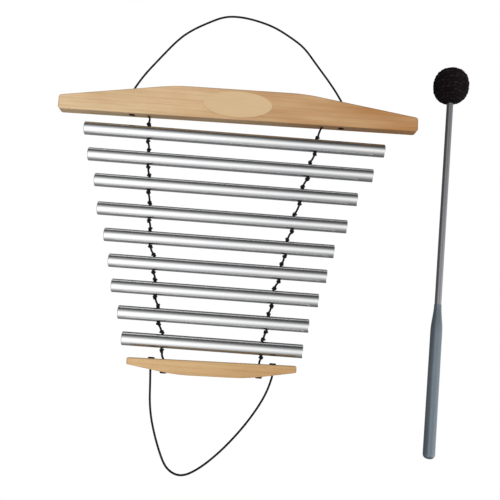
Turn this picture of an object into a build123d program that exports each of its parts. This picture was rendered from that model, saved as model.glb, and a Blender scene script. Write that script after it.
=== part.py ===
"""Ladder bar chime: nine aluminium tubes hung on two knotted cords between two wooden bars, and its mallet.

The chime hangs from the crown of its upper cord loop, which is the origin. +Z is up, the tubes lie along X,
and the player stands on the -Y side. Every length is in millimetres.
"""

from build123d import *
from math import cos, radians, sin, tan
import os

os.makedirs("parts", exist_ok=True)

# ---------------------------------------------------------------- driving dimensions

# Tubes: half-inch aluminium, tuned to a five-note scale over an octave and a half.
tube_diameter = 12.7
tube_wall = 1.0
tube_bevel = 0.5
longest_tube = 290.0
scale_steps = [0, 2, 5, 7, 10, 12, 14, 17, 19]  # semitones above the longest tube
node_ratio = 0.215  # cord hole from the tube's end, as a share of its length
cord_hole = 2.5
# How far to the right of that rule each hole was drilled by hand, longest tube first
hole_slips = {
    "left": [-1.0, -1.1, -2.7, -2.0, -3.7, -2.1, -1.3, -1.0, 1.0],
    "right": [-3.9, -3.0, 0.0, 0.0, 0.9, 0.3, -1.3, -0.7, -1.8],
}

# Heights: the top bar hangs under the loop's crown, and everything else follows from it.
bar_top = -76.8  # at the bar's middle
bar_height = 30.6
first_drop = 17.9  # from the top bar's underside to the first tube's axis
tube_drops = [25.3, 24.6, 27.2, 24.7, 24.1, 23.3, 24.3, 23.8]  # hand-tied, so a little uneven
lower_bar_drop = 15.3  # from the last tube's axis to the lower bar's top

# Sideways rest of each rung: the ladder hangs a little to one side, as cords tied by hand let it.
tube_shifts = [0.0, -2.0, -4.5, -6.0, -7.0, -6.5, -7.2, -6.8, -6.0]
bar_shift = 1.55
lower_bar_shift = -5.2
bar_tilt = 0.77  # degrees, right end up: the loop and the ladder hang a little off the bars' middles
lower_bar_tilt = 1.16

# Wooden bars
bar_depth = 12.7
bar_half_length = 173.5
bar_end_height = 14.0
bar_flat_half = 62.7
lower_half_length = 77.7
lower_height = 13.6
lower_end_height = 6.2
lower_flat_half = 32.6
shoulder_radius = 180.0
end_corner_radius = 2.8
lower_corner_radius = 1.4
edge_radius = 0.8
knot_recess_diameter = 6.6
knot_recess_depth = 4.6
lower_recess_depth = 3.2  # shallower, so the lower bar's knots stand proud of it

# Holes, measured along each bar from its middle, and drilled by hand
bar_loop_holes = {"left": -103.3, "right": 99.7}
bar_ladder_holes = {"left": -87.6, "right": 81.5}
lower_loop_holes = {"left": -56.0, "right": 56.0}
lower_ladder_holes = {"left": -44.2, "right": 43.6}

# Plain oval plate on the front of the top bar
plate_shift = -1.6  # from the bar's middle
plate_length = 66.0
plate_height = 26.0
plate_thickness = 0.3

# Cord
cord_radius = 0.85
knot_radius = 2.2
knot_seat = 0.05  # daylight between a knot and what it bears on
knot_core = 0.6  # runs of cord end this far short of a knot's centre
end_rounding = 0.95  # radius of a cord's rounded end, as a share of the cord's radius
pivot_clearance = 0.25  # between the two cord ends that meet at a pivot
hole_pivot_stand = 1.2  # the loops bend this far outside the wood
lower_pivot_stand = 2.2  # the ladder's last bend is this far above the lower bar

# The loops' routes from hole to hole, as (x, z) corners
upper_loop_corners = [
    (-95.8, -71.2), (-80.5, -50.5), (-62.8, -27.6), (-50.0, -17.0), (-35.0, -8.2), (-20.0, -0.7), (-5.0, 0.5),
    (12.0, -2.0), (30.5, -7.5), (47.0, -16.8), (61.2, -26.4), (74.5, -43.5), (88.0, -60.2), (96.4, -71.8),
]
lower_loop_corners = [
    (-60.1, -361.0), (-58.8, -381.0), (-54.5, -400.0), (-45.5, -424.0), (-38.0, -437.0), (-25.0, -442.3),
    (-9.0, -434.0), (10.5, -416.0), (28.5, -394.0), (41.0, -374.5), (48.5, -358.5),
]
arc_share = 0.45  # how much of the shorter run each rounded corner takes

# Mallet, standing beside the chime and leaning a little outwards
mallet_foot_x = 198.5
mallet_foot_z = -411.0
mallet_lean = 1.5
mallet_length = 375.0
head_radius = 18.0
core_radius = 15.0
rod_radius = 3.15
rod_seat = 20.0  # solid end of the grip below the rod
grip_length = 141.4
grip_flare_length = 26.0
grip_foot_radius = 5.6
grip_waist_radius = 5.45
grip_lip_radius = 3.4
grip_foot_round = 4.2

# ---------------------------------------------------------------- places worked out from them

tube_radius = tube_diameter / 2
tube_lengths = [longest_tube * 2 ** (-step / 24) for step in scale_steps]
tube_hole_xs = {
    side_name: [
        shift + side * length * (0.5 - node_ratio) + slip
        for shift, length, slip in zip(tube_shifts, tube_lengths, hole_slips[side_name])
    ]
    for side_name, side in (("left", -1), ("right", 1))
}
bar_bottom = bar_top - bar_height
tube_heights = [bar_bottom - first_drop]
for drop in tube_drops:
    tube_heights.append(tube_heights[-1] - drop)
lower_bar_top = tube_heights[-1] - lower_bar_drop
knot_offset = tube_radius + knot_seat + knot_radius


def bar_plane(shift, top, tilt):
    """A bar's own frame, at the middle of its top edge: x along the bar, y up its front face, z forward."""
    return Plane(origin=(shift, 0, top), x_dir=(cos(radians(tilt)), 0, sin(radians(tilt))), z_dir=(0, -1, 0))


bar_frame = bar_plane(bar_shift, bar_top, bar_tilt)
lower_frame = bar_plane(lower_bar_shift, lower_bar_top, lower_bar_tilt)


def shoulder_drop(x, flat_half, half_length, centre_height, end_height):
    """How far a bar's sloping shoulder has fallen at x from the bar's middle."""
    slope = (centre_height - end_height) / (half_length - flat_half)
    return max(0.0, abs(x) - flat_half) * slope


def on_bar(x, above_top=0.0):
    """The place on the top bar's sloping top edge at x, or this far above it, across the bar."""
    drop = shoulder_drop(x, bar_flat_half, bar_half_length, bar_height, bar_end_height)
    return bar_frame.from_local_coords((x, above_top - drop, 0))


def under_bar(x, above_bottom=0.0):
    """The place on the top bar's underside at x, or this far above it, across the bar."""
    return bar_frame.from_local_coords((x, above_bottom - bar_height, 0))


def on_lower_bar(x, above_top=0.0):
    """The place on the lower bar's top edge at x, or this far above it, across the bar."""
    return lower_frame.from_local_coords((x, above_top, 0))


def under_lower_bar(x, above_bottom=0.0):
    """The place on the lower bar's sloping underside at x, or this far above it, across the bar."""
    drop = shoulder_drop(x, lower_flat_half, lower_half_length, lower_height, lower_end_height)
    return lower_frame.from_local_coords((x, above_bottom + drop - lower_height, 0))


def save(part, name):
    """Label one finished piece and write its STEP file."""
    part.label = name
    export_step(part, f"parts/{name}.step")


# ---------------------------------------------------------------- wooden bars

with BuildPart() as top_bar:
    with BuildSketch(bar_frame):
        with BuildLine():
            Polyline(
                (-bar_half_length, -bar_height),
                (bar_half_length, -bar_height),
                (bar_half_length, bar_end_height - bar_height),
                (bar_flat_half, 0),
                (-bar_flat_half, 0),
                (-bar_half_length, bar_end_height - bar_height),
                close=True,
            )
        make_face()
        shoulders = vertices().group_by(Axis.Y)[-1]
        fillet(shoulders, radius=shoulder_radius)
        fillet(vertices().filter_by(lambda v: abs(v.X) > bar_half_length - 1), radius=end_corner_radius)
    extrude(amount=bar_depth / 2, both=True)
    fillet(faces().filter_by(Axis.Y).edges(), radius=edge_radius)
    # The loop's knots sit in recesses in the underside, the ladder's in recesses in the top.
    for x in bar_loop_holes.values():
        with Locations(Plane(origin=under_bar(x), z_dir=-bar_frame.y_dir)):
            CounterBoreHole(cord_hole / 2, knot_recess_diameter / 2, knot_recess_depth, depth=bar_height)
    for x in bar_ladder_holes.values():
        with Locations(Plane(origin=on_bar(x), z_dir=bar_frame.y_dir)):
            CounterBoreHole(cord_hole / 2, knot_recess_diameter / 2, knot_recess_depth, depth=bar_height)
save(top_bar.part, "top_bar")

with BuildPart() as lower_bar:
    with BuildSketch(lower_frame):
        with BuildLine():
            Polyline(
                (-lower_half_length, 0),
                (lower_half_length, 0),
                (lower_half_length, -lower_end_height),
                (lower_flat_half, -lower_height),
                (-lower_flat_half, -lower_height),
                (-lower_half_length, -lower_end_height),
                close=True,
            )
        make_face()
        shoulders = vertices().group_by(Axis.Y)[0]
        fillet(shoulders, radius=shoulder_radius)
        fillet(vertices().filter_by(lambda v: abs(v.X) > lower_half_length - 1), radius=lower_corner_radius)
    extrude(amount=bar_depth / 2, both=True)
    fillet(faces().filter_by(Axis.Y).edges(), radius=edge_radius)
    # Here the loop's knots sit in the top, and the ladder's in the underside.
    for x in lower_loop_holes.values():
        with Locations(Plane(origin=on_lower_bar(x), z_dir=lower_frame.y_dir)):
            CounterBoreHole(cord_hole / 2, knot_recess_diameter / 2, lower_recess_depth, depth=lower_height)
    for x in lower_ladder_holes.values():
        with Locations(Plane(origin=under_lower_bar(x), z_dir=-lower_frame.y_dir)):
            CounterBoreHole(cord_hole / 2, knot_recess_diameter / 2, lower_recess_depth, depth=lower_height)
save(lower_bar.part, "lower_bar")

with BuildPart() as label_plate:
    with BuildSketch(bar_frame.offset(bar_depth / 2)):
        with Locations((plate_shift, -bar_height / 2)):
            Ellipse(plate_length / 2, plate_height / 2)
    extrude(amount=plate_thickness)
save(label_plate.part, "label_plate")

# ---------------------------------------------------------------- tubes


def make_tube(number, length, shift, height):
    """One bevelled tube along X, drilled through both walls where the two cords pass."""
    with BuildPart() as tube:
        with BuildSketch(Plane(origin=(shift - length / 2, 0, height), z_dir=(1, 0, 0))):
            Circle(tube_radius)
            Circle(tube_radius - tube_wall, mode=Mode.SUBTRACT)
        extrude(amount=length)
        rims = edges().filter_by(GeomType.CIRCLE).filter_by(lambda e: e.radius > tube_radius - tube_wall / 2)
        chamfer(rims, length=tube_bevel)
        with Locations(*((xs[number - 1], 0, height + tube_radius) for xs in tube_hole_xs.values())):
            Hole(cord_hole / 2, depth=tube_diameter)
    save(tube.part, f"tube_{number}")


for number, (length, shift, height) in enumerate(zip(tube_lengths, tube_shifts, tube_heights), start=1):
    make_tube(number, length, shift, height)

# ---------------------------------------------------------------- ladder cords


def make_cord(name, corners, knots, starts_at_pivot, ends_at_pivot):
    """One knotted stretch of cord along straight runs, which stop short of each other inside its knots.

    Where it starts at a pivot it has a round end about the pivot, and where it ends at a pivot
    it stops just clear of the next stretch's round end.
    """
    corners = [Vector(*corner) for corner in corners]
    knots = [Vector(*knot) for knot in knots]
    if starts_at_pivot:
        corners[0] -= (corners[1] - corners[0]).normalized() * cord_radius
    if ends_at_pivot:
        corners[-1] -= (corners[-1] - corners[-2]).normalized() * (cord_radius + pivot_clearance)
    with BuildPart() as cord:
        for start, end in zip(corners, corners[1:]):
            way = (end - start).normalized()
            if start in knots:
                start = start + way * knot_core
            if end in knots:
                end = end - way * knot_core
            with BuildSketch(Plane(origin=start, x_dir=(0, 1, 0), z_dir=way)):
                Circle(cord_radius)
            extrude(amount=(end - start).length)
        if starts_at_pivot:
            rims = edges().filter_by(GeomType.CIRCLE)
            fillet(rims.sort_by_distance(corners[0])[0], radius=cord_radius * end_rounding)
        for knot in knots:
            with Locations(knot):
                Sphere(knot_radius)
    save(cord.part, name)


def make_ladder_cord(side_name):
    """All the stretches of one ladder cord, from the top bar's recess to the knot under the lower bar."""
    bar_hole = bar_ladder_holes[side_name]
    lower_hole = lower_ladder_holes[side_name]
    hole_xs = tube_hole_xs[side_name]
    # A pivot lies halfway between neighbouring rungs' surfaces, and the last one just above the lower bar.
    bar_exit = under_bar(bar_hole)
    pivots = [((bar_exit.X + hole_xs[0]) / 2, 0, (bar_bottom + tube_heights[0] + tube_radius) / 2)]
    for (x_a, z_a), (x_b, z_b) in zip(zip(hole_xs, tube_heights), list(zip(hole_xs, tube_heights))[1:]):
        pivots.append(((x_a + x_b) / 2, 0, (z_a + z_b) / 2))
    pivots.append((on_lower_bar(lower_hole).X, 0, lower_bar_top + lower_pivot_stand))

    top_knot = on_bar(bar_hole, knot_seat + knot_radius - knot_recess_depth)
    make_cord(f"{side_name}_top_cord", [top_knot, bar_exit, pivots[0]], [top_knot], False, True)
    for number, (x, z) in enumerate(zip(hole_xs, tube_heights), start=1):
        above = (x, 0, z + knot_offset)
        below = (x, 0, z - knot_offset)
        make_cord(
            f"{side_name}_cord_{number}",
            [pivots[number - 1], above, below, pivots[number]],
            [above, below],
            True,
            True,
        )
    end_knot = under_lower_bar(lower_hole, lower_recess_depth - knot_seat - knot_radius)
    make_cord(f"{side_name}_bottom_cord", [pivots[-1], end_knot], [end_knot], True, False)


make_ladder_cord("left")
make_ladder_cord("right")

# ---------------------------------------------------------------- loops and their knots

upper_pivots = {}
lower_pivots = {}
for side_name in ("left", "right"):
    hole = bar_loop_holes[side_name]
    upper_pivots[side_name] = on_bar(hole, hole_pivot_stand)
    knot = under_bar(hole, knot_recess_depth - knot_seat - knot_radius)
    make_cord(f"{side_name}_loop_knot", [upper_pivots[side_name], knot], [knot], True, False)
    hole = lower_loop_holes[side_name]
    lower_pivots[side_name] = under_lower_bar(hole, -hole_pivot_stand)
    knot = on_lower_bar(hole, knot_seat + knot_radius - lower_recess_depth)
    make_cord(f"{side_name}_lower_loop_knot", [knot, lower_pivots[side_name]], [knot], False, True)


def make_loop(name, pivots, corners, round_ends):
    """A free loop of cord: straight runs joined by arcs as large as the runs allow, in the XZ plane."""
    points = [pivots["left"], *(Vector(x, 0, z) for x, z in corners), pivots["right"]]
    # A round end reaches past its pivot, and a flat end stops clear of the other cord's round end.
    end_step = -cord_radius if round_ends else cord_radius + pivot_clearance
    for end, inner in ((0, 1), (-1, -2)):
        points[end] += (points[inner] - points[end]).normalized() * end_step
    runs = [b - a for a, b in zip(points, points[1:])]
    radii = []
    for before, after in zip(runs, runs[1:]):
        half_turn = radians(before.get_angle(after)) / 2
        radii.append(arc_share * min(before.length, after.length) / tan(half_turn))
    with BuildPart() as loop:
        with BuildLine() as route:
            FilletPolyline(*points, radius=radii)
        length = sum(edge.length for edge in route.edges())
        with BuildSketch(Plane(origin=points[0], z_dir=runs[0])):
            Circle(cord_radius)
        sweep()
        tube_volume = loop.part.volume
        if round_ends:
            for point in (points[0], points[-1]):
                rims = edges().filter_by(GeomType.CIRCLE)
                fillet(rims.sort_by_distance(point)[0], radius=cord_radius * end_rounding)
    section = Circle(cord_radius).area
    print(name, "radii", [round(radius, 1) for radius in radii])
    print(name, "runs", [round(run.length, 1) for run in runs], "length", round(length, 1))
    print(name, "tube volume over section times length", round(tube_volume / (section * length), 4))
    save(loop.part, name)


make_loop("hanging_loop", upper_pivots, upper_loop_corners, round_ends=False)
make_loop("lower_loop", lower_pivots, lower_loop_corners, round_ends=True)
for name, pivots in (("bar_swing", upper_pivots), ("lower_loop_swing", lower_pivots)):
    print(name, "pivots", [tuple(round(value, 3) for value in pivot) for pivot in pivots.values()])

# ---------------------------------------------------------------- mallet

lean = radians(mallet_lean)
# In this plane x is the distance from the mallet's own axis, and y the height above its foot.
mallet_plane = Plane(
    origin=(mallet_foot_x, 0, mallet_foot_z), x_dir=(cos(lean), 0, -sin(lean)), z_dir=(0, -1, 0)
)
mallet_axis = Axis(mallet_plane.origin, mallet_plane.y_dir)
head_height = mallet_length - head_radius

with BuildPart() as mallet_rod:
    with BuildSketch(mallet_plane):
        with Locations((0, rod_seat)):
            Rectangle(rod_radius, head_height - rod_seat, align=(Align.MIN, Align.MIN))
    revolve(axis=mallet_axis)
save(mallet_rod.part, "mallet_rod")

with BuildPart() as mallet_grip:
    with BuildSketch(mallet_plane):
        with BuildLine():
            Line((rod_radius, rod_seat), (0, rod_seat))
            Line((0, rod_seat), (0, 0))
            Line((0, 0), (grip_foot_radius - grip_foot_round, 0))
            RadiusArc(
                (grip_foot_radius - grip_foot_round, 0), (grip_foot_radius, grip_foot_round), -grip_foot_round
            )
            Line((grip_foot_radius, grip_foot_round), (grip_waist_radius, grip_length - grip_flare_length))
            Spline(
                (grip_waist_radius, grip_length - grip_flare_length),
                (grip_lip_radius, grip_length),
                tangents=[(0, 1), (0, 1)],
            )
            Line((grip_lip_radius, grip_length), (rod_radius, grip_length))
            Line((rod_radius, grip_length), (rod_radius, rod_seat))
        make_face()
    revolve(axis=mallet_axis)
save(mallet_grip.part, "mallet_grip")

with BuildPart() as mallet_core:
    with BuildSketch(mallet_plane):
        with Locations((0, head_height)):
            Circle(core_radius)
        with Locations((0, head_height)):
            Rectangle(core_radius, 2 * core_radius, align=(Align.MIN, Align.CENTER), mode=Mode.INTERSECT)
        with Locations((0, head_height)):
            Rectangle(rod_radius, core_radius, align=(Align.MIN, Align.MAX), mode=Mode.SUBTRACT)
    revolve(axis=mallet_axis)
save(mallet_core.part, "mallet_core")

with BuildPart() as mallet_head:
    with BuildSketch(mallet_plane):
        with Locations((0, head_height)):
            Circle(head_radius)
            Circle(core_radius, mode=Mode.SUBTRACT)
            Rectangle(head_radius, 2 * head_radius, align=(Align.MIN, Align.CENTER), mode=Mode.INTERSECT)
            Rectangle(rod_radius, head_radius, align=(Align.MIN, Align.MAX), mode=Mode.SUBTRACT)
    revolve(axis=mallet_axis)
save(mallet_head.part, "mallet_head")
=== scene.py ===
"""Ladder bar chime and its mallet: cords, knots, knitted head, materials and studio round the CAD frame."""
from math import cos, pi, radians, sin

import bpy
import bmesh
import numpy as np
from mathutils import Matrix, Vector


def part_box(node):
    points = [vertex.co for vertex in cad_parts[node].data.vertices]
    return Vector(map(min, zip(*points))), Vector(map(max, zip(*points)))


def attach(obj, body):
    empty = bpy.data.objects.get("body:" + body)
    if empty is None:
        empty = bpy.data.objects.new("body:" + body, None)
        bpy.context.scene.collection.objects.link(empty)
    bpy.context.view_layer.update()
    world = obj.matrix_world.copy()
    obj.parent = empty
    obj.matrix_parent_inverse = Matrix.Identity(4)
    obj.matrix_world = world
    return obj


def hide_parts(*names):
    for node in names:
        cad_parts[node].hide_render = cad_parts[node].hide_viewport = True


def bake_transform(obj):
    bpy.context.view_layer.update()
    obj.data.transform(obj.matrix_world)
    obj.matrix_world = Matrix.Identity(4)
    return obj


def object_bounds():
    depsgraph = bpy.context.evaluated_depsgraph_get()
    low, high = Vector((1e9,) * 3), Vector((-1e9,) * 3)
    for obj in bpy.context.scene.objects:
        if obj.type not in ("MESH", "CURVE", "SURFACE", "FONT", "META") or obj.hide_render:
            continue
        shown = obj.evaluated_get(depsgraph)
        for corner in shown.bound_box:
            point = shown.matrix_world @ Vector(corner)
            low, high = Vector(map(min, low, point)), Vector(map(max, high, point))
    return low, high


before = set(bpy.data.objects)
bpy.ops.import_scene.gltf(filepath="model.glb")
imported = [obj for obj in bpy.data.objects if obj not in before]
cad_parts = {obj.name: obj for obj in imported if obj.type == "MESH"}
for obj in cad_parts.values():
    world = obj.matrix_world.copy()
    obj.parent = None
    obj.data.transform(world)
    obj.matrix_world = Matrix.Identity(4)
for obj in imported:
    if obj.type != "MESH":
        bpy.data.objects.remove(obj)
cad_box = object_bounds()
scene = bpy.context.scene
MM = 0.001

# ---------------------------------------------------------------- camera

CAMERA_PLACE = Vector((0.0127, -0.6491, -0.3249))
CAMERA_LENS = 50.0
CAMERA_SENSOR = 36.0
CAMERA_YAW = radians(0.84)
CAMERA_PITCH = radians(8.18)
CAMERA_ROLL = radians(4.21)


def make_camera():
    """A view from the front, looking a little up, rolled a little to one side."""
    yaw, pitch, roll = CAMERA_YAW, CAMERA_PITCH, CAMERA_ROLL
    forward = Vector((sin(yaw) * cos(pitch), cos(yaw) * cos(pitch), sin(pitch)))
    level_right = Vector((cos(yaw), -sin(yaw), 0))
    level_up = level_right.cross(forward)
    right = level_right * cos(roll) + level_up * sin(roll)
    up = level_up * cos(roll) - level_right * sin(roll)
    data = bpy.data.cameras.new("camera")
    data.lens = CAMERA_LENS
    data.sensor_width = CAMERA_SENSOR
    camera = bpy.data.objects.new("camera", data)
    scene.collection.objects.link(camera)
    turned = Matrix((right, up, -forward)).transposed().to_4x4()
    camera.matrix_world = Matrix.Translation(CAMERA_PLACE) @ turned
    scene.camera = camera


make_camera()

# ---------------------------------------------------------------- places in the CAD frame

TUBE_COUNT = 9
SIDES = {"left": -1, "right": 1}
CORD_DIAMETER = 1.7 * MM
CORD_RADIUS = CORD_DIAMETER / 2
CAD_KNOT_RADIUS = 2.2 * MM

# Each bar's own frame, as the CAD has it: the middle of its top edge (X, Z), and its tilt in the XZ plane.
TOP_BAR_FRAME = (1.55 * MM, -76.8 * MM, radians(0.77))
LOWER_BAR_FRAME = (-5.2 * MM, -337.9 * MM, radians(1.16))
TOP_BAR_HEIGHT = 30.6 * MM
BAR_LADDER_HOLES = {"left": -87.6 * MM, "right": 81.5 * MM}
LOWER_LADDER_HOLES = {"left": -44.2 * MM, "right": 43.6 * MM}


def middle(node):
    low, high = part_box(node)
    return (low + high) / 2


def on_frame(bar_frame, along, up):
    """The place that is this far along a bar, and up its front, from the middle of its top edge."""
    x, z, tilt = bar_frame
    return Vector((x + along * cos(tilt) - up * sin(tilt), 0, z + along * sin(tilt) + up * cos(tilt)))


# ---------------------------------------------------------------- cord making

ROUTE_RESOLUTION = 48  # points in each stretch of a route
ROUTE_ORDER = 3
BRAID_STRANDS = 4
BRAID_PITCH = 5.2 * MM
BRAID_RELIEF = 0.05  # as a share of the cord's radius
CORD_FULLNESS = 1.18  # the strands stand a little proud of the cord's nominal radius
CORD_SECTION_STEP = 0.36 * MM
CORD_SECTION_POINTS = 24
# A rounded end is three smaller rings: share of the girth, and how many radii beyond the end.
CORD_CAPS = ((0.93, 0.36), (0.75, 0.66), (0.42, 0.9))


def link(name, mesh):
    piece = bpy.data.objects.new(name, mesh)
    scene.collection.objects.link(piece)
    return piece


def nurbs_points(name, control_points):
    """The points of a NURBS line through a cord's route, read from a curve with no bevel."""
    data = bpy.data.curves.new(name, "CURVE")
    data.dimensions = "3D"
    data.resolution_u = ROUTE_RESOLUTION
    spline = data.splines.new("NURBS")
    spline.points.add(len(control_points) - 1)
    for point, place in zip(spline.points, control_points):
        point.co = (*place, 1.0)
    spline.order_u = ROUTE_ORDER
    spline.use_endpoint_u = True
    curve = bpy.data.objects.new(name, data)
    scene.collection.objects.link(curve)
    mesh = bpy.data.meshes.new_from_object(curve)
    points = [v.co.copy() for v in mesh.vertices]
    bpy.data.meshes.remove(mesh)
    bpy.data.objects.remove(curve)
    bpy.data.curves.remove(data)
    return points


def even_points(points, spacing):
    """The same line with its points a set distance apart."""
    co = np.array([tuple(p) for p in points])
    steps = np.linalg.norm(np.diff(co, axis=0), axis=1)
    along = np.concatenate([[0.0], np.cumsum(steps)])
    count = max(2, int(round(along[-1] / spacing)) + 1)
    wanted = np.linspace(0.0, along[-1], count)
    return np.stack([np.interp(wanted, along, co[:, k]) for k in range(3)], axis=1)


def cord_rings(line):
    """For each point of a line: the point, its direction, and the cord's outline there, from that point."""
    tangents = np.gradient(line, axis=0)
    tangents /= np.linalg.norm(tangents, axis=1)[:, None]
    side = np.cross(tangents[0], (0.0, 1.0, 0.0))
    if np.linalg.norm(side) < 0.1:  # the line sets out along Y
        side = np.cross(tangents[0], (1.0, 0.0, 0.0))
    angles = np.arange(CORD_SECTION_POINTS) * 2 * pi / CORD_SECTION_POINTS
    length_here = 0.0
    rings = []
    for index, (place, tangent) in enumerate(zip(line, tangents)):
        # The side is carried along the line, so the braid doesn't twist where the cord bends.
        side = side - tangent * np.dot(side, tangent)
        side /= np.linalg.norm(side)
        other = np.cross(tangent, side)
        if index:
            length_here += np.linalg.norm(line[index] - line[index - 1])
        lay = 2 * pi * length_here / BRAID_PITCH
        one_way = np.cos(BRAID_STRANDS * angles + BRAID_STRANDS * lay)
        other_way = np.cos(BRAID_STRANDS * angles - BRAID_STRANDS * lay)
        relief = 1 - BRAID_RELIEF + BRAID_RELIEF * np.maximum(one_way, other_way)
        ring = np.outer(np.cos(angles) * relief, side) + np.outer(np.sin(angles) * relief, other)
        rings.append((place, tangent, ring * CORD_RADIUS * CORD_FULLNESS))
    return rings


def cord_mesh(name, points):
    """A closed braided tube along the points: two crossing sets of strands raised on it, and rounded ends."""
    rings = cord_rings(even_points(points, CORD_SECTION_STEP))
    place, tangent, ring = rings[0]
    start_caps = [place - tangent * CORD_RADIUS * out + ring * share for share, out in reversed(CORD_CAPS)]
    place, tangent, ring = rings[-1]
    end_caps = [place + tangent * CORD_RADIUS * out + ring * share for share, out in CORD_CAPS]
    blocks = start_caps + [place + ring for place, _, ring in rings] + end_caps
    vertices = [tuple(vertex) for block in blocks for vertex in block]
    count = CORD_SECTION_POINTS
    faces = []
    for row in range(len(blocks) - 1):
        for k in range(count):
            a, b = row * count + k, row * count + (k + 1) % count
            faces.append((a, b, b + count, a + count))
    first, last = len(vertices), len(vertices) + 1
    vertices.append(tuple(rings[0][0] - rings[0][1] * CORD_RADIUS))
    vertices.append(tuple(rings[-1][0] + rings[-1][1] * CORD_RADIUS))
    top = (len(blocks) - 1) * count
    for k in range(count):
        faces.append((first, (k + 1) % count, k))
        faces.append((last, top + k, top + (k + 1) % count))
    mesh = bpy.data.meshes.new(name)
    mesh.from_pydata(vertices, [], faces)
    mesh.shade_smooth()
    mesh.update()
    return mesh


# ---------------------------------------------------------------- the two loops

# The routes' corners in metres, as the CAD has them, in the XZ plane.
UPPER_LOOP = [
    (-0.101675, -0.08307), (-0.0958, -0.0712), (-0.0805, -0.0505), (-0.0628, -0.0276), (-0.0500, -0.0170),
    (-0.0350, -0.0082), (-0.0200, -0.0007), (-0.0050, 0.0005), (0.0120, -0.0020), (0.0305, -0.0075),
    (0.0470, -0.0168), (0.0612, -0.0264), (0.0745, -0.0435), (0.0880, -0.0602), (0.0964, -0.0718),
    (0.101299, -0.079803),
]
LOWER_LOOP = [
    (-0.060967, -0.349992), (-0.0601, -0.3610), (-0.0588, -0.3810), (-0.0545, -0.4000), (-0.0455, -0.4240),
    (-0.0380, -0.4370), (-0.0250, -0.4423), (-0.0090, -0.4340), (0.0105, -0.4160), (0.0285, -0.3940),
    (0.0410, -0.3745), (0.0485, -0.3585), (0.05101, -0.347725),
]


def make_loop(name, corners, body, node):
    route = [Vector((x, 0, z)) for x, z in corners]
    points = nurbs_points(name + "_line", route)
    piece = link(name, cord_mesh(name, points))
    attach(piece, body)
    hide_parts(node)
    return piece


cord_pieces = [
    make_loop("upper_loop_cord", UPPER_LOOP, "hanging_loop", "hanging_loop"),
    make_loop("lower_loop_cord", LOWER_LOOP, "lower_loop", "lower_loop"),
]

# ---------------------------------------------------------------- knots and ladder cords

DOWN = Vector((0, 0, -1))
KNOT_TURNS = 1.6
KNOT_COIL = 1.28 * MM
KNOT_HEIGHT = 2.7 * MM
KNOT_TILT = radians(24)
KNOT_TILT_TURN = 1.7  # which way a knot leans, as a multiple of where its coil starts
KNOT_EASE = 0.16  # share of its length over which a knot opens out from the cord's line, and closes again
KNOT_STAND = 2.05 * MM  # from the tube's surface to the knot's middle
KNOT_STEPS = 44

FLAT_KNOT_TURNS = 3.1
FLAT_KNOT_REACH = 2.2 * MM
FLAT_KNOT_DEPTH = 1.6 * MM  # from the knot's outer face to its middle
FLAT_KNOT_THICKNESS = 1.5 * MM
FLAT_KNOT_OPENING = 0.1  # share of its length over which it reaches its full width
FLAT_KNOT_CLOSING = 0.38  # share of its length over which it winds in again
FLAT_KNOT_CORE = 0.08  # share of its width that is left at its end
FLAT_KNOT_CROSSING = 0.35  # share of its length over which it passes from its inner side to its face
FLAT_KNOT_STEPS = 96

# Where each knot's coil starts, in radians.
GOLDEN_TURN = 2.399963  # from one tube to the next, so that no two neighbours are alike
TOP_KNOT_TURN = 0.4
BELOW_KNOT_TURN = 1.9  # the knot below a tube, on from the one above it
END_KNOT_TURN = 2.2
LOOP_KNOT_TURN = 1.1
LOWER_LOOP_KNOT_TURN = 2.3

CORD_SEATING = 1.0 * MM  # how far inside a bar's wood the ladder's bare cord gives way to its knot
SPAN_STEPS = 24
SPAN_DEEP_BOW = 0.35  # the bow to front and back, as a share of the bow to the side
SPAN_BOWS = {  # millimetres to the right, from the top span down
    "left": [1.3, 0.3, -0.3, 0.25, 0.3, -0.35, 0.3, -0.3, 0.35, -0.9],
    "right": [-0.5, 0.3, -0.3, 0.35, -0.3, 0.3, -0.35, 0.3, -0.3, -0.4],
}
HOLE_SHARE = 0.285  # from a tube's middle to its holes, as a share of its length
HOLE_SLIPS = {  # millimetres to the right of that each hole was drilled, longest tube first
    "left": [-1.0, -1.1, -2.7, -2.0, -3.7, -2.1, -1.3, -1.0, 1.0],
    "right": [-3.9, -3.0, 0.0, 0.0, 0.9, 0.3, -1.3, -0.7, -1.8],
}


def knot_points(centre, turn, way):
    """A tight knot on a cord that runs this way: slanting wraps that start and end on the cord's line."""
    points = []
    across = Vector((0, 1, 0)).cross(way).normalized()
    deep = way.cross(across)
    lean = KNOT_TILT_TURN * turn
    for k in range(KNOT_STEPS + 1):
        u = k / KNOT_STEPS
        out = min(1.0, min(u, 1 - u) / KNOT_EASE)
        out = out * out * (3 - 2 * out)
        angle = turn + 2 * pi * KNOT_TURNS * u
        a, b = KNOT_COIL * out * cos(angle), KNOT_COIL * out * sin(angle)
        along = KNOT_HEIGHT * (u - 0.5) + (a * cos(lean) + b * sin(lean)) * sin(KNOT_TILT)
        points.append(centre + across * a + deep * b + way * along)
    return points


def flat_knot_points(centre, turn, thickness):
    """A knot pulled flat in its recess: out from the cord's line, across to the face, round, and in again."""
    points = []
    for k in range(FLAT_KNOT_STEPS + 1):
        u = k / FLAT_KNOT_STEPS
        angle = turn + 2 * pi * FLAT_KNOT_TURNS * u
        width = min(1.0, u / FLAT_KNOT_OPENING, FLAT_KNOT_CORE + (1 - u) / FLAT_KNOT_CLOSING)
        out = FLAT_KNOT_REACH * width
        across = min(1.0, u / FLAT_KNOT_CROSSING)
        points.append(centre + Vector((out * cos(angle), out * sin(angle), thickness * (0.5 - across))))
    return points


def make_cord_piece(name, points, body, node):
    piece = link(name, cord_mesh(name, points))
    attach(piece, body)
    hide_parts(node)
    cord_pieces.append(piece)


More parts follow.
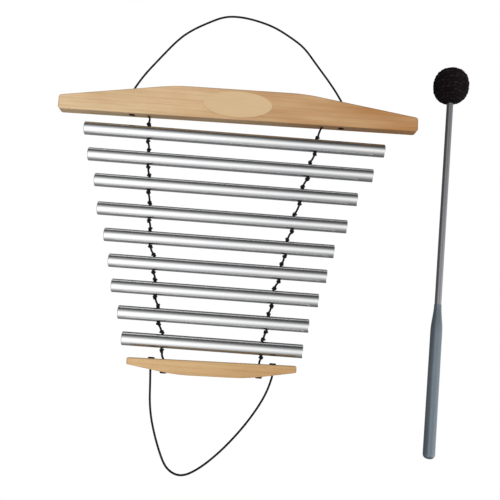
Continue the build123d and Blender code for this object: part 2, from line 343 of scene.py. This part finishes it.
def make_span(name, top, bottom, bow):
    """A short bare stretch between two knots, bowed a little sideways."""
    points = []
    for k in range(SPAN_STEPS + 1):
        u = k / SPAN_STEPS
        place = top.lerp(bottom, u)
        place.x += bow * sin(pi * u)
        place.y += SPAN_DEEP_BOW * bow * sin(2 * pi * u)
        points.append(place)
    piece = link(name, cord_mesh(name, points))
    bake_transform(piece)
    cord_pieces.append(piece)


def tube_holes(side_name):
    """For each tube, longest first, where this side's cord goes in at its top and comes out below."""
    holes = []
    for number, slip in enumerate(HOLE_SLIPS[side_name], start=1):
        low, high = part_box(f"tube_{number}")
        x = (low.x + high.x) / 2 + SIDES[side_name] * (high.x - low.x) * HOLE_SHARE + slip * MM
        holes.append((Vector((x, 0, high.z)), Vector((x, 0, low.z))))
    return holes


def make_ladder_cord(side_name):
    """The top bar's knot, knots above and below each tube, the lower bar's knot, and the spans between."""
    side = SIDES[side_name]
    bows = SPAN_BOWS[side_name]
    holes = tube_holes(side_name)
    bar_exit = on_frame(TOP_BAR_FRAME, BAR_LADDER_HOLES[side_name], -TOP_BAR_HEIGHT)
    lower_entry = on_frame(LOWER_BAR_FRAME, LOWER_LADDER_HOLES[side_name], 0)
    # The way the cord runs from each rung's underside to the top of the next.
    leaving = [bar_exit] + [bottom for _, bottom in holes]
    entering = [top for top, _ in holes] + [lower_entry]
    ways = [(b - a).normalized() for a, b in zip(leaving, entering)]

    low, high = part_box(f"{side_name}_top_cord")
    top_x = low.x + CAD_KNOT_RADIUS if side < 0 else high.x - CAD_KNOT_RADIUS
    top_knot = Vector((top_x, 0, high.z - CAD_KNOT_RADIUS))
    upper_end, upper_body = bar_exit + Vector((0, 0, CORD_SEATING)), "top_bar"
    knot = knot_points(top_knot, TOP_KNOT_TURN + side, DOWN)
    make_cord_piece(f"{side_name}_top_knot", knot + [upper_end], "top_bar", f"{side_name}_top_cord")

    for number, (hole_top, hole_bottom) in enumerate(holes, start=1):
        way_in, way_out = ways[number - 1], ways[number]
        turn = number * GOLDEN_TURN + side
        above = knot_points(hole_top - way_in * KNOT_STAND, turn, way_in)
        below = knot_points(hole_bottom + way_out * KNOT_STAND, turn + BELOW_KNOT_TURN, way_out)
        knots = above + [hole_top, hole_bottom] + below
        body = f"tube_{number}"
        make_cord_piece(f"{side_name}_knots_{number}", knots, body, f"{side_name}_cord_{number}")
        bow = bows[number - 1] * MM
        make_span(f"{side_name}_span_{number}", upper_end, knots[0], bow)
        upper_end, upper_body = knots[-1], body

    low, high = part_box(f"{side_name}_bottom_cord")
    entry = lower_entry - Vector((0, 0, CORD_SEATING))
    end_knot = Vector(((low.x + high.x) / 2, 0, low.z + FLAT_KNOT_DEPTH))
    flat = flat_knot_points(end_knot, END_KNOT_TURN + side, FLAT_KNOT_THICKNESS)
    make_cord_piece(f"{side_name}_end_knot", [entry] + flat, "lower_bar", f"{side_name}_bottom_cord")
    last, bow = TUBE_COUNT + 1, bows[TUBE_COUNT] * MM
    make_span(f"{side_name}_span_{last}", upper_end, entry, bow)


def make_loop_knots(side_name):
    """The loops' tied ends: in recesses under the top bar, and on top of the lower bar."""
    side = SIDES[side_name]
    corner = 0 if side < 0 else -1
    start = Vector(UPPER_LOOP[corner]).to_3d().xzy
    low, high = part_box(f"{side_name}_loop_knot")
    x = low.x + CAD_KNOT_RADIUS if side > 0 else high.x - CAD_KNOT_RADIUS
    knot = Vector((x, 0, low.z + FLAT_KNOT_DEPTH))
    flat = flat_knot_points(knot, LOOP_KNOT_TURN * side, FLAT_KNOT_THICKNESS)
    make_cord_piece(f"{side_name}_loop_end_knot", [start] + flat, "top_bar", f"{side_name}_loop_knot")

    low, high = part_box(f"{side_name}_lower_loop_knot")
    knot = Vector(((low.x + high.x) / 2, 0, high.z - FLAT_KNOT_DEPTH))
    end = Vector(LOWER_LOOP[corner]).to_3d().xzy
    flat = flat_knot_points(knot, LOWER_LOOP_KNOT_TURN * side, -FLAT_KNOT_THICKNESS)
    name = f"{side_name}_lower_loop_end_knot"
    make_cord_piece(name, flat[::-1] + [end], "lower_bar", f"{side_name}_lower_loop_knot")


for side_name in SIDES:
    make_ladder_cord(side_name)
    make_loop_knots(side_name)

# ---------------------------------------------------------------- knitted mallet head

MALLET_LEAN = radians(1.5)
HEAD_RADIUS = 18.0 * MM
HEAD_SUBDIVISIONS = 6
HEAD_SQUARENESS = 2.3  # power of the outline; 2 is a true ball
HEAD_NARROWING = 0.968
COLLAR_SPREAD = 0.42  # of the head's radius
COLLAR_DROP = 2.6 * MM
STITCH_ROW = 3.3 * MM
STITCHES = 20  # in each row
STITCH_SLANT = 0.35
STITCH_FALL = 0.75  # from a stitch's middle to its sides, as a share of its height
STITCH_SHARPNESS = 1.5
STITCH_SHIFT = 0.13  # how far a row slips round, in stitches
ROW_SAGS = ((0.16, 3, 1.0), (0.10, 7, 0.0))  # share of a row, waves round the head, where the first starts
YARN_RELIEF = 1.12 * MM
YARN_UNEVENNESS = 0.18
ROW_BEAT = 2.3  # these beats spread the slips and the unevenness without a pattern
UNEVEN_BEATS = (5.1, 3.7)
RIB_FLOOR = 0.35  # share of a row's height that stays between its stitches


def stitch_heights(normals):
    """How high the yarn stands at each point of the ball, from 0 between stitches to 1 on the highest."""
    longitude = np.arctan2(normals[:, 1], normals[:, 0]) / (2 * pi)
    sag = sum(share * np.sin(2 * pi * waves * longitude + start) for share, waves, start in ROW_SAGS)
    row = np.arccos(np.clip(normals[:, 2], -1, 1)) * HEAD_RADIUS / STITCH_ROW + sag
    row_number = np.floor(row)
    along = longitude * STITCHES + 0.5 * (row_number % 2) + STITCH_SHIFT * np.sin(ROW_BEAT * row_number)
    across_row = 2 * (row - row_number) - 1
    across_stitch = 2 * (along - np.floor(along)) - 1
    rib = np.sqrt(1 - across_row**2)
    strand = 1 - STITCH_FALL * np.abs(across_stitch + STITCH_SLANT * across_row) ** STITCH_SHARPNESS
    beat = UNEVEN_BEATS[0] * np.floor(along) + UNEVEN_BEATS[1] * row_number
    uneven = YARN_UNEVENNESS * np.sin(beat)
    stitch = RIB_FLOOR + (1 - RIB_FLOOR) * np.clip(strand, 0, 1)
    height = np.clip(rib * stitch + uneven * rib, 0, 1.2)
    return height / height.max()


def make_mallet_head():
    """A ball in a knitted cover: rows of stitches round the rod's line, every other row half a stitch on."""
    mesh = bpy.data.meshes.new("mallet_head_yarn")
    ball = bmesh.new()
    bmesh.ops.create_icosphere(ball, subdivisions=HEAD_SUBDIVISIONS, radius=1.0)
    ball.to_mesh(mesh)
    ball.free()
    co = np.zeros(len(mesh.vertices) * 3)
    mesh.vertices.foreach_get("co", co)
    normals = co.reshape(-1, 3)
    height = stitch_heights(normals)
    # The ball is a little square in outline, and the yarn gathers in a short collar round the rod.
    rise, out = np.abs(normals[:, 2]), np.hypot(normals[:, 0], normals[:, 1])
    outline = (rise**HEAD_SQUARENESS + out**HEAD_SQUARENESS) ** (-1 / HEAD_SQUARENESS)
    radius = HEAD_RADIUS * outline - YARN_RELIEF * (1 - height)
    placed = normals * radius[:, None] * (HEAD_NARROWING, HEAD_NARROWING, 1)
    collar = (normals[:, 2] < 0) * np.clip(1 - out / COLLAR_SPREAD, 0, 1) ** 2
    placed[:, 2] -= COLLAR_DROP * collar
    tilt = np.array(Matrix.Rotation(MALLET_LEAN, 3, "Y"))
    placed = placed @ tilt.T + np.array(middle("mallet_head"))
    mesh.vertices.foreach_set("co", placed.ravel())
    mesh.attributes.new("crown", "FLOAT", "POINT").data.foreach_set("value", height.astype(np.float32))
    mesh.shade_smooth()
    mesh.update()
    piece = link("mallet_head_yarn", mesh)
    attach(piece, "mallet")
    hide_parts("mallet_head", "mallet_core")
    return piece


head_piece = make_mallet_head()

# ---------------------------------------------------------------- shading


def rgba(r, g, b):
    return (r, g, b, 1.0)


class Shading:
    """Short-hand for building a material's or a world's node tree."""

    def __init__(self, owner):
        owner.use_nodes = True
        self.tree = owner.node_tree
        self.tree.nodes.clear()

    def put(self, socket, value):
        if isinstance(value, bpy.types.NodeSocket):
            self.tree.links.new(value, socket)
        else:
            socket.default_value = value

    def add(self, kind, inputs=None, **settings):
        node = self.tree.nodes.new(kind)
        for key, value in settings.items():
            setattr(node, key, value)
        for key, value in (inputs or {}).items():
            self.put(node.inputs[key], value)
        return node

    def math(self, operation, a, b=0.0):
        node = self.add("ShaderNodeMath", operation=operation)
        self.put(node.inputs[0], a)
        self.put(node.inputs[1], b)
        return node.outputs[0]

    def parts(self, vector):
        return self.add("ShaderNodeSeparateXYZ", {"Vector": vector}).outputs

    def spread(self, value, low, high, out_low=0.0, out_high=1.0, **settings):
        """Low to high carried over to out_low to out_high, and held there beyond."""
        levels = {"From Min": low, "From Max": high, "To Min": out_low, "To Max": out_high}
        return self.add("ShaderNodeMapRange", {"Value": value, **levels}, **settings).outputs["Result"]

    def ramp(self, factor, stops):
        node = self.add("ShaderNodeValToRGB", {"Fac": factor})
        elements = node.color_ramp.elements
        while len(elements) < len(stops):
            elements.new(0.5)
        for element, (position, colour) in zip(elements, stops):
            element.position = position
            element.color = rgba(*colour)
        return node.outputs["Color"]


class Surface(Shading):
    """A material. Its noise scales are per metre, along the row frame's axes; its colours are linear."""

    def __init__(self, name):
        self.material = bpy.data.materials.new(name)
        super().__init__(self.material)
        self.place = self.add("ShaderNodeTexCoord").outputs["Object"]

    def mapped(self, **settings):
        inputs = {name.capitalize(): value for name, value in settings.items()}
        return self.add("ShaderNodeMapping", {"Vector": self.place, **inputs}).outputs[0]

    def noise(self, scale, detail=3.0, roughness=0.5):
        vector = self.mapped(scale=scale)
        levels = {"Scale": 1.0, "Detail": detail, "Roughness": roughness}
        return self.add("ShaderNodeTexNoise", {"Vector": vector, **levels}).outputs["Fac"]

    def mix(self, factor, a, b, blend="MIX"):
        node = self.add("ShaderNodeMix", data_type="RGBA", blend_type=blend)
        self.put(node.inputs["Factor"], factor)
        self.put(node.inputs["A"], a)
        self.put(node.inputs["B"], b)
        return node.outputs["Result"]

    def tinted(self, base, r, g, b):
        return self.mix(1.0, base, rgba(r, g, b), "MULTIPLY")

    def bump(self, height, distance, strength):
        node = self.add("ShaderNodeBump", {"Height": height, "Distance": distance, "Strength": strength})
        return node.outputs["Normal"]

    def finish(self, colour, roughness, normal=None, metallic=0.0, specular=0.5):
        """Puts the surface together, and gives back its material."""
        inputs = {"Base Color": colour, "Roughness": roughness}
        levels = {"Metallic": metallic, "Specular IOR Level": specular}
        shader = self.add("ShaderNodeBsdfPrincipled", {**inputs, **levels})
        if normal is not None:
            self.put(shader.inputs["Normal"], normal)
        self.add("ShaderNodeOutputMaterial", {"Surface": shader.outputs["BSDF"]})
        return self.material


# ---------------------------------------------------------------- materials

# Partly the wood's own tone and partly painted light: each bar is painted lighter at its left end, where the
# light falls from.
TOP_BAR_TONES_AND_SIDE_LIGHT = ((0.590, 0.440, 0.268), (0.325, 0.162, 0.060))  # at the left end, at the right end
LOWER_BAR_TONES_AND_SIDE_LIGHT = ((0.555, 0.382, 0.200), (0.395, 0.248, 0.112))
WOOD_SPECULAR = 0.25
# Painted shade along the bars' top edges and ends, where the rounded edges turn from the light: how wide,
# where it is full, and how strong.
PAINTED_EDGE_SHADE_WIDTH = 1.3 * MM
PAINTED_EDGE_SHADE_FULL = 0.1 * MM  # from the edge, where the edge's tone is at its strongest
PAINTED_EDGE_SHADE = 0.85

# Each bar's outline in its own frame, in metres: how far its top is level, and how its shoulders fall.
TOP_OUTLINE = {"frame": TOP_BAR_FRAME, "flat_half": 0.0627, "half_length": 0.1735, "slope": 0.1498}
LOWER_OUTLINE = {"frame": LOWER_BAR_FRAME, "flat_half": 0.0777, "half_length": 0.0777, "slope": 0.0}


def wood_ground(n, half_length, light_left, dark_right):
    """The colour under the grain: from the left end's to the right end's, wandering, with blushes; the
    lighter left end is partly the wood's own tone and partly painted light falling from -X.
    """
    along = n.spread(n.parts(n.place)["X"], -half_length, half_length)
    wander = n.noise((11, 40, 70), detail=2.0)
    drift = n.math("ADD", along, n.spread(wander, 0.3, 0.7, -0.20, 0.20))
    # Lighter to the left, partly by the wood's own tone and partly by painted light.
    ground = n.mix(drift, rgba(*light_left), rgba(*dark_right))
    blush = n.spread(n.noise((26, 60, 55), detail=2.0), 0.45, 0.72, 0.0, 0.55)
    return n.mix(blush, ground, n.tinted(ground, 0.96, 0.84, 0.78))


def wood_rings(n, ring_offset):
    """Growth rings sawn lengthwise: long bands that wander across the face."""
    levels = {"Scale": 1.0, "Distortion": 5.5, "Detail": 3.0, "Detail Scale": 0.7, "Detail Roughness": 0.55}
    bands = n.add(
        "ShaderNodeTexWave",
        {"Vector": n.mapped(location=(0, 0, ring_offset), scale=(1.6, 30, 62)), **levels},
        wave_type="BANDS", bands_direction="Z", wave_profile="SIN",
    ).outputs["Fac"]
    return n.ramp(bands, [(0.0, (0.87, 0.83, 0.78)), (0.5, (1.0, 1.0, 1.0)), (1.0, (0.97, 0.95, 0.93))])


def edge_shade_strength(n, outline):
    """How strong the painted edge shade is: full at the bar's top edge and ends, and none further in."""
    frame_x, frame_z, tilt = outline["frame"]
    local = n.add(
        "ShaderNodeMapping",
        {"Vector": n.place, "Location": (frame_x, 0, frame_z), "Rotation": (0, -tilt, 0)},
        vector_type="TEXTURE",
    ).outputs[0]
    parts = n.parts(local)
    across = n.math("ABSOLUTE", parts["X"])
    past_level = n.math("MAXIMUM", n.math("SUBTRACT", across, outline["flat_half"]), 0.0)
    fall = n.math("MULTIPLY", past_level, outline["slope"])
    from_top = n.math("SUBTRACT", n.math("MULTIPLY", parts["Z"], -1.0), fall)
    from_end = n.math("SUBTRACT", outline["half_length"], across)
    return n.spread(n.math("MINIMUM", from_top, from_end), PAINTED_EDGE_SHADE_WIDTH, PAINTED_EDGE_SHADE_FULL, 0.0, PAINTED_EDGE_SHADE)


def wood_material(name, light_left, dark_right, outline, ring_offset):
    """Pale straight-grained hardwood sawn along X, redder and darker towards +X partly by its own tone and
    partly by painted light falling from -X, with painted shade along its edges.
    """
    n = Surface(name)
    fibres = n.noise((24, 900, 1250), detail=4.0, roughness=0.55)
    fibre_tones = [(0.28, (0.86, 0.83, 0.79)), (0.5, (0.98, 0.98, 0.97)), (0.72, (1.05, 1.04, 1.03))]
    pores = n.spread(n.noise((85, 1500, 2300), detail=2.0), 0.68, 0.78, 0.0, 0.6)
    tone = wood_ground(n, outline["half_length"], light_left, dark_right)
    tone = n.mix(0.6, tone, wood_rings(n, ring_offset), "MULTIPLY")
    tone = n.mix(0.7, tone, n.ramp(fibres, fibre_tones), "MULTIPLY")
    tone = n.mix(pores, tone, n.tinted(tone, 0.62, 0.52, 0.42))
    # Painted shade, grey-blue, along the top edge and the ends.
    tone = n.mix(edge_shade_strength(n, outline), tone, n.tinted(tone, 0.50, 0.52, 0.58))
    relief = n.math("SUBTRACT", n.math("MULTIPLY", fibres, 0.6), n.math("MULTIPLY", pores, 0.7))
    roughness = n.spread(fibres, 0.3, 0.7, 0.5, 0.62)
    return n.finish(tone, roughness, n.bump(relief, 0.1 * MM, 0.7), specular=WOOD_SPECULAR)


def plate_material():
    """The oval plate: a plain matt veneer, a shade duller than the bar."""
    n = Surface("plate_veneer")
    fibres = n.noise((30, 900, 1300), detail=4.0)
    mottle = n.noise((70, 70, 110))
    ground = n.mix(mottle, rgba(0.478, 0.338, 0.187), rgba(0.520, 0.376, 0.220))
    fibre_tone = n.ramp(fibres, [(0.3, (0.9, 0.89, 0.87)), (0.6, (1.0, 1.0, 1.0))])
    tone = n.mix(0.6, ground, fibre_tone, "MULTIPLY")
    roughness = n.spread(mottle, 0.3, 0.7, 0.6, 0.72)
    return n.finish(tone, roughness, n.bump(fibres, 0.06 * MM, 0.7), specular=WOOD_SPECULAR)


def tube_material():
    """Polished drawn aluminium: very faint lengthwise lines and smudges."""
    n = Surface("drawn_aluminium")
    lines = n.noise((9, 1900, 1900), detail=2.0)
    smudge = n.noise((26, 90, 90), detail=4.0, roughness=0.6)
    tone = n.mix(n.spread(smudge, 0.3, 0.7), rgba(0.845, 0.850, 0.860), rgba(0.885, 0.885, 0.890))
    smudged, drawn = n.spread(smudge, 0.3, 0.7, 0.19, 0.24), n.spread(lines, 0.3, 0.7, 0.0, 0.03)
    return n.finish(tone, n.math("ADD", smudged, drawn), n.bump(lines, 0.003 * MM, 0.4), metallic=1.0)


def cord_material():
    """Black braided cord, matt, with a little fuzz."""
    n = Surface("black_cord")
    fuzz = n.noise((2600, 2600, 2600), detail=4.0, roughness=0.65)
    tone = n.ramp(fuzz, [(0.3, (0.0035, 0.0035, 0.004)), (0.75, (0.014, 0.0135, 0.014))])
    return n.finish(tone, n.spread(fuzz, 0.3, 0.7, 0.7, 0.9), n.bump(fuzz, 0.08 * MM, 0.7), specular=0.12)


def rod_material():
    """Grey drawn steel rod."""
    n = Surface("rod_steel")
    lines = n.noise((1500, 1500, 14), detail=2.0)
    marks = n.noise((120, 120, 40), detail=4.0)
    tone = n.mix(n.spread(lines, 0.3, 0.7), rgba(0.290, 0.292, 0.306), rgba(0.322, 0.324, 0.340))
    return n.finish(tone, n.spread(marks, 0.3, 0.7, 0.32, 0.40), n.bump(lines, 0.004 * MM, 0.4), metallic=1.0)


def grip_material():
    """Blue-grey smooth sleeve with a satin, almost metallic sheen and a fine moulded grain."""
    n = Surface("grip_rubber")
    grain = n.noise((1500, 1500, 1100))
    cloud = n.noise((90, 90, 40))
    tone = n.mix(n.spread(cloud, 0.3, 0.7), rgba(0.150, 0.182, 0.212), rgba(0.175, 0.208, 0.240))
    roughness = n.spread(cloud, 0.3, 0.7, 0.34, 0.42)
    return n.finish(tone, roughness, n.bump(grain, 0.01 * MM, 0.5), metallic=0.72, specular=0.2)


def yarn_material():
    """Black yarn with a soft fibrous surface, with painted shade between the stitches and a painted highlight
    on their crowns.
    """
    n = Surface("black_yarn")
    fuzz = n.noise((1100, 1100, 1100), detail=4.0, roughness=0.65)
    patches = n.spread(n.noise((95, 95, 95), detail=2.0), 0.35, 0.65)
    crown = n.add("ShaderNodeAttribute", attribute_name="crown").outputs["Fac"]
    tone = n.mix(patches, rgba(0.0062, 0.0045, 0.0050), rgba(0.0125, 0.0095, 0.0102))
    tone = n.mix(n.spread(fuzz, 0.5, 0.8), tone, rgba(0.027, 0.021, 0.023))
    # Painted shade between the stitches, where the yarn sinks away from the light.
    tone = n.mix(n.spread(crown, 0.45, 0.95), n.tinted(tone, 0.5, 0.45, 0.45), tone)
    # A painted highlight on the stitches' crowns.
    tone = n.mix(n.spread(crown, 0.7, 1.0, 0.0, 0.3), tone, rgba(0.034, 0.028, 0.030))
    return n.finish(tone, 0.95, n.bump(fuzz, 0.2 * MM, 0.8), specular=0.08)


def give(piece, material):
    piece.data.materials.clear()
    piece.data.materials.append(material)


def give_materials():
    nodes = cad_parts
    give(nodes["top_bar"], wood_material("top_bar_wood", *TOP_BAR_TONES_AND_SIDE_LIGHT, TOP_OUTLINE, 0.0))
    give(nodes["lower_bar"], wood_material("lower_bar_wood", *LOWER_BAR_TONES_AND_SIDE_LIGHT, LOWER_OUTLINE, 0.013))
    give(nodes["label_plate"], plate_material())
    aluminium = tube_material()
    for number in range(1, TUBE_COUNT + 1):
        give(nodes[f"tube_{number}"], aluminium)
    black_cord = cord_material()
    for piece in cord_pieces:
        give(piece, black_cord)
    give(nodes["mallet_rod"], rod_material())
    give(nodes["mallet_grip"], grip_material())
    give(head_piece, yarn_material())


give_materials()

# ---------------------------------------------------------------- studio

# What shiny parts see all round the X axis: degrees up from the front, level towards -X, level towards +X.
REFLECTED = [
    (-180, 0.34, 0.34), (-164, 0.30, 0.30), (-150, 0.16, 0.12), (-134, 0.16, 0.10), (-102, 0.24, 0.15),
    (-77, 0.50, 0.26), (-58, 0.98, 0.36), (-42, 1.20, 0.60), (-24, 1.25, 0.86), (-8, 1.22, 0.88),
    (9, 0.98, 0.58), (24, 0.55, 0.26), (40, 0.26, 0.12), (60, 0.08, 0.045), (88, 0.035, 0.035),
    (130, 0.04, 0.04), (150, 0.10, 0.10), (164, 0.30, 0.30), (180, 0.34, 0.34),
]
REFLECTION_GAIN = 1.12
SIDE_CHANGE = (-0.22, 0.14)  # the X of the direction over which the one level gives way to the other
# Far to each side they see this instead: from this X of the direction, to this X, and how bright.
FLANKS = ((-0.45, -0.75, 0.25), (0.40, 0.80, 1.16))
FLANK_SHADE = [(0.0, 0.5), (0.3, 1.9), (0.42, 1.4), (0.5, 1.0), (0.6, 0.8), (0.75, 0.35), (1.0, 0.2)]
# What matt parts see, from below to above, and the shares of it that come from -X and from +X.
SKY_SHADE = [(0.0, 1.45), (0.35, 1.0), (0.6, 0.90), (1.0, 1.0)]
SKY_SIDES = (0.30, 0.75)
SKY_CHANGE = (-0.9, 0.9)

LIGHT_AIM = (0, 0, -0.2)
LIGHTS = (  # name, place, width, height, watts
    ("front", (0.5, -2.0, 0.3), 1.4, 1.2, 41),
    ("rear", (0.0, 2.1, 0.3), 2.4, 1.2, 12),
)
FLOOR_HALF = 0.5
FLOOR_DROP = 0.2  # below the lowest point of the CAD


def make_world():
    """White to the camera, a soft sky to matt surfaces, and a striped studio to shiny ones."""
    world = bpy.data.worlds.new("studio")
    scene.world = world
    n = Shading(world)

    def background(colour, strength=1.0):
        return n.add("ShaderNodeBackground", {"Color": colour, "Strength": strength}).outputs[0]

    def grey_ramp(factor, stops):
        return n.ramp(factor, [(position, (level, level, level)) for position, level in stops])

    def blended(factor, first, second):
        node = n.add("ShaderNodeMixShader")
        for socket, value in zip(node.inputs, (factor, first, second)):
            n.put(socket, value)
        return node.outputs[0]

    way = n.parts(n.add("ShaderNodeTexCoord").outputs["Generated"])

    def sideways(low, high):
        return n.spread(way["X"], low, high, interpolation_type="SMOOTHSTEP")

    height = n.spread(way["Z"], -1.0, 1.0)
    angle = n.math("ARCTAN2", way["Z"], n.math("MULTIPLY", way["Y"], -1.0))
    turn = n.spread(angle, -pi, pi)
    sides = []
    for side in (1, 2):
        stops = [((row[0] + 180) / 360, row[side] * REFLECTION_GAIN) for row in REFLECTED]
        sides.append(background(grey_ramp(turn, stops)))
    shiny = blended(sideways(*SIDE_CHANGE), *sides)
    for near, far, level in FLANKS:
        shiny = blended(sideways(near, far), shiny, background(grey_ramp(height, FLANK_SHADE), level))
    skies = [background(grey_ramp(height, SKY_SHADE), share) for share in SKY_SIDES]
    matt = blended(sideways(*SKY_CHANGE), *skies)
    path = n.add("ShaderNodeLightPath").outputs
    lit = blended(path["Is Glossy Ray"], matt, shiny)
    seen = blended(path["Is Camera Ray"], lit, background(rgba(1, 1, 1)))
    n.add("ShaderNodeOutputWorld", {"Surface": seen})


def make_floor():
    """A plain pale floor well below the hanging chime."""
    mesh = bpy.data.meshes.new("floor")
    half, level = FLOOR_HALF, cad_box[0].z - FLOOR_DROP
    corners = [(-half, -half, level), (half, -half, level), (half, half, level), (-half, half, level)]
    mesh.from_pydata(corners, [], [(0, 1, 2, 3)])
    floor = link("floor", mesh)
    give(floor, Surface("pale_floor").finish(rgba(0.9, 0.9, 0.9), 0.8))
    floor.visible_glossy = False


def make_light(name, place, width, height, watts):
    """A soft rectangular lamp that is neither seen nor reflected."""
    data = bpy.data.lights.new(name, "AREA")
    data.shape = "RECTANGLE"
    data.size = width
    data.size_y = height
    data.energy = watts
    light = bpy.data.objects.new(name, data)
    scene.collection.objects.link(light)
    light.location = place
    light.rotation_mode = "QUATERNION"
    light.rotation_quaternion = (Vector(LIGHT_AIM) - Vector(place)).to_track_quat("-Z", "Y")
    light.visible_camera = False
    light.visible_glossy = False


make_world()
make_floor()
for light in LIGHTS:
    make_light(*light)
scene.view_settings.view_transform = "Standard"
